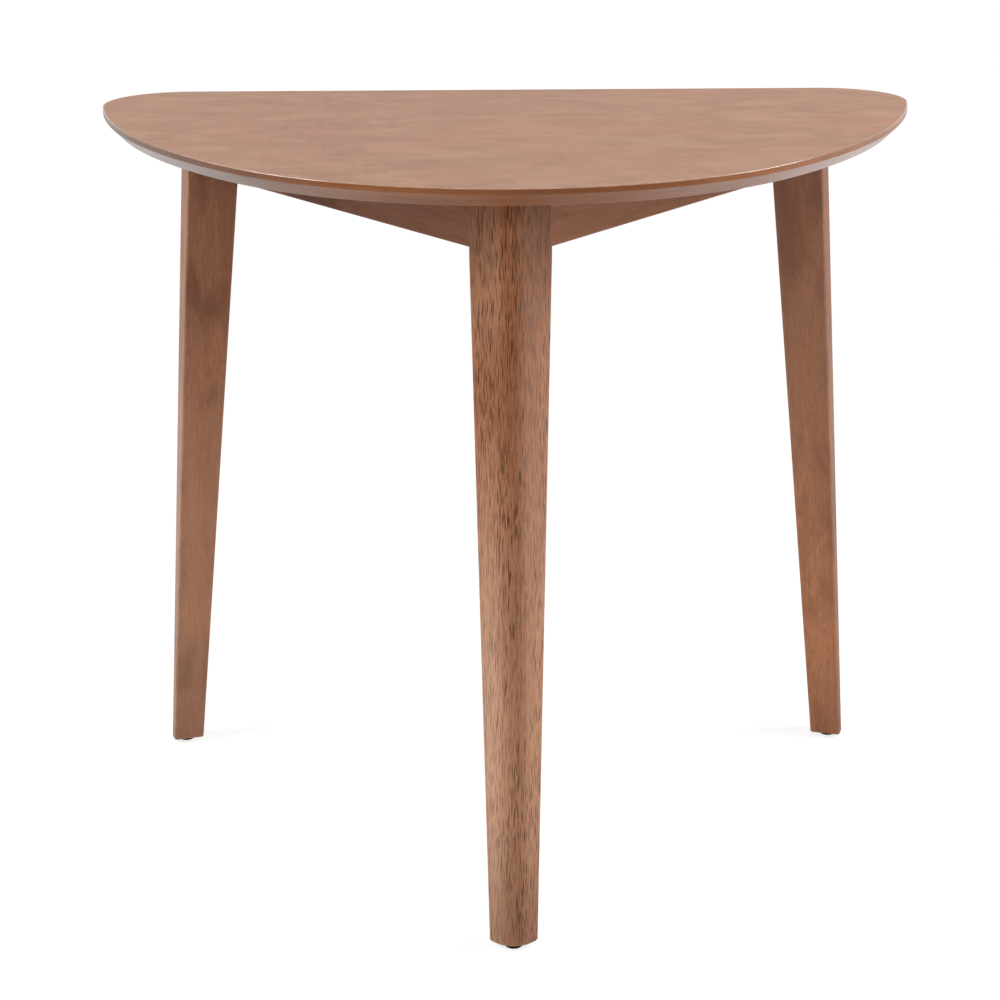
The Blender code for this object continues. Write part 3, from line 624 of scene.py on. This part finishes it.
def eased(outward, level, radius, first, last, steps):
    """A rounded arris in section, from tilt to tilt: how far out, its level and its tilt."""
    both = direction(first) + direction(last)
    centre = Vector((outward, level)) - both * 2 * radius / both.length_squared
    tilts = [first + (last - first) * step / steps for step in range(steps + 1)]
    return [(*(centre + radius * direction(tilt)), tilt) for tilt in tilts]


def edged(name, section, edge_material, cap_material):
    """A board whose edge follows a section; the cap at the section's end has its own finish."""
    outline = top_outline()
    count = len(outline)
    lengths = [0.0]
    for index, (point, way) in enumerate(outline):
        lengths.append(lengths[-1] + (outline[(index + 1) % count][0] - point).length)
    points, normals = [], []
    for outward, level, tilt in section:
        for point, way in outline:
            points.append((*(point + way * outward), level))
            normals.append((*(way * math.cos(tilt)), math.sin(tilt)))
    winding = 1 if section[-1][1] > section[0][1] else -1
    faces, places = [], []
    for ring, (near, far) in enumerate(zip(section, section[1:])):
        for index in range(count):
            corners = [
                (ring, index, near), (ring, index + 1, near),
                (ring + 1, index + 1, far), (ring + 1, index, far),
            ][::winding]
            faces.append([row * count + column % count for row, column, entry in corners])
            places += [(lengths[column], entry[0] + entry[1]) for row, column, entry in corners]
    for ring in (range(count), range(len(points) - count, len(points))):
        winding = -winding
        faces.append(list(ring)[::winding])
        places += [points[index][:2] for index in faces[-1]]
    mesh = bpy.data.meshes.new(name)
    mesh.from_pydata(points, [], faces)
    mesh.materials.append(edge_material)
    mesh.materials.append(cap_material)
    mesh.polygons[-1].material_index = 1
    mesh.shade_smooth()
    mesh.normals_split_custom_set_from_vertices(normals)
    layer = mesh.uv_layers.new(name=EDGE_MAP)
    for entry, place in zip(layer.data, places):
        entry.uv = place
    piece = bpy.data.objects.new(name, mesh)
    bpy.context.scene.collection.objects.link(piece)
    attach(piece, "root")
    return piece


def make_top():
    arris = edge_wood("arris_wood", ARRIS_TONE, ARRIS_GLOSS)
    edging = edge_wood("edge_wood", EDGE_TONE, EDGE_GLOSS)
    section = [(0, SEAM_LEVEL, 0)]
    section += eased(0, TOP_LEVEL, FACE_ROUNDING, 0, math.pi / 2, FACE_STEPS)
    face = edged("top_face", section, arris, veneer("face_veneer"))
    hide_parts("top_face_veneer")
    section = [(0, SEAM_LEVEL, 0)]
    section += eased(0, BAND_BOTTOM, EDGE_ROUNDING, 0, BEVEL_TILT, EDGE_STEPS)
    section += eased(-UNDERCUT, BOARD_BOTTOM, EDGE_ROUNDING, BEVEL_TILT, -math.pi / 2, EDGE_STEPS)
    board = edged("top_board", section, edging, veneer("backing_veneer", BACKING_TONE))
    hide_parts("top_core", "top_backing_veneer")


make_top()


# ---------------------------------------------------------------- studio

FLOOR_CORNERS = [(-30, -12, 0), (30, -12, 0), (30, 40, 0), (-30, 40, 0)]
FLOOR_PALE, FLOOR_PALER, FLOOR_DARK = (0.80,) * 3, (0.84,) * 3, (0.05,) * 3
# The floor in reflections: dark in front and under the table, and paler the further behind.
DARK_FRONT = (-1.9, -0.9)
DARK_UNDER = (0.15, 0.55, 0.62, 0.0)
PALE_BEHIND = (0.3, 1.9, 0.13, 0.42)
# The floor that the camera sees: white by its own light, less of it close to the table, and
# matt by the rest, which keeps the shadow.
WHITE_AROUND = (0.5, 5.0, 0.80, 0.94)
SEEN_MATT_LOSS = 0.65

# The room in front of the table is darker in reflections.
ROOM_DARKNESS = (-0.7, -0.1, 0.12, 1.0)
WORLD_LIGHT = 0.24

LAMP_AIM = Vector((0, 0, 0.45))
# Place, size in metres and power in watts.
LAMPS = {
    "left_softbox": ((-2.4, -0.45, 2.15), (1.5, 0.6), 52),
    "right_softbox": ((2.4, 0.05, 1.85), (1.5, 0.6), 62),
    "front_softbox": ((0, -3.2, 2.4), (2.8, 1.6), 36),
}


def floor_paint():
    graph = Graph("floor_paint")
    graph.tree.nodes.remove(graph.shader)
    rays = graph.add("ShaderNodeLightPath").outputs
    mirrored = rays["Is Glossy Ray"]
    seen = graph.math("MAXIMUM", rays["Is Camera Ray"], rays["Is Transmission Ray"])
    place = graph.place()
    depth = graph.split(place)[1]
    reach = graph.vector_math("LENGTH", place)["Value"]
    front = graph.math("SUBTRACT", 1.0, graph.ramp(depth, *DARK_FRONT))
    shaded = graph.math("MAXIMUM", front, graph.ramp(reach, *DARK_UNDER))
    dark = graph.math("MULTIPLY", mirrored, shaded)
    colour = graph.mix(graph.noise(place, FLOOR_GRAIN), FLOOR_PALE, FLOOR_PALER)
    colour = graph.mix(dark, colour, FLOOR_DARK)
    colour = graph.mix(graph.math("MULTIPLY", seen, SEEN_MATT_LOSS), colour, (0, 0, 0))
    matt = graph.add("ShaderNodeBsdfDiffuse")
    graph.put(matt.inputs["Color"], colour)
    white = graph.product(seen, graph.ramp(reach, *WHITE_AROUND))
    pale = graph.product(
        graph.math("SUBTRACT", mirrored, dark), graph.ramp(depth, *PALE_BEHIND)
    )
    glow = graph.add("ShaderNodeEmission")
    graph.put(glow.inputs["Strength"], graph.math("ADD", white, pale))
    lit = graph.add("ShaderNodeAddShader")
    graph.put(lit.inputs[0], matt.outputs[0])
    graph.put(lit.inputs[1], glow.outputs[0])
    # From below the floor is clear.
    sided = graph.add("ShaderNodeMixShader")
    graph.put(sided.inputs[0], graph.add("ShaderNodeNewGeometry").outputs["Backfacing"])
    graph.put(sided.inputs[1], lit.outputs[0])
    graph.put(sided.inputs[2], graph.add("ShaderNodeBsdfTransparent").outputs[0])
    graph.put(graph.output.inputs["Surface"], sided.outputs[0])
    return graph.material


def make_floor():
    mesh = bpy.data.meshes.new("floor")
    mesh.from_pydata(FLOOR_CORNERS, [], [(0, 1, 2, 3)])
    mesh.materials.append(floor_paint())
    floor = bpy.data.objects.new("floor", mesh)
    bpy.context.scene.collection.objects.link(floor)


def make_lamp(name, place, size, power):
    data = bpy.data.lights.new(name, "AREA")
    data.shape = "RECTANGLE"
    data.size, data.size_y = size
    data.energy = power
    lamp = bpy.data.objects.new(name, data)
    lamp.location = place
    lamp.rotation_euler = (LAMP_AIM - Vector(place)).to_track_quat("-Z", "Y").to_euler()
    bpy.context.scene.collection.objects.link(lamp)


def make_world():
    """White where a camera ray sees it, the same in reflections but for a darker room in front, and
    a soft even light on everything."""
    world = bpy.data.worlds.new("studio")
    bpy.context.scene.world = world
    world.use_nodes = True
    tree = world.node_tree
    ground = tree.nodes["Background"]
    rays = tree.nodes.new("ShaderNodeLightPath")
    way = tree.nodes.new("ShaderNodeTexCoord")
    parts = tree.nodes.new("ShaderNodeSeparateXYZ")
    tree.links.new(way.outputs["Generated"], parts.inputs[0])
    room = tree.nodes.new("ShaderNodeMapRange")
    room.interpolation_type = "SMOOTHSTEP"
    for socket, value in zip(room.inputs[1:5], ROOM_DARKNESS):
        socket.default_value = value
    tree.links.new(parts.outputs[1], room.inputs[0])
    # Each kind of ray in turn takes its own strength instead of the light on everything.
    strength = WORLD_LIGHT
    for output, white in (
        ("Is Glossy Ray", room.outputs[0]), ("Is Transmission Ray", 1.0), ("Is Camera Ray", 1.0)
    ):
        mix = tree.nodes.new("ShaderNodeMix")
        mix.data_type = "FLOAT"
        tree.links.new(rays.outputs[output], mix.inputs[0])
        for socket, value in ((mix.inputs[2], strength), (mix.inputs[3], white)):
            if isinstance(value, float):
                socket.default_value = value
            else:
                tree.links.new(value, socket)
        strength = mix.outputs[0]
    tree.links.new(strength, ground.inputs["Strength"])
    ground.inputs["Color"].default_value = (1, 1, 1, 1)


make_floor()
make_world()
for name, (place, size, power) in LAMPS.items():
    make_lamp(name, place, size, power)
bpy.context.scene.view_settings.view_transform = "Standard"
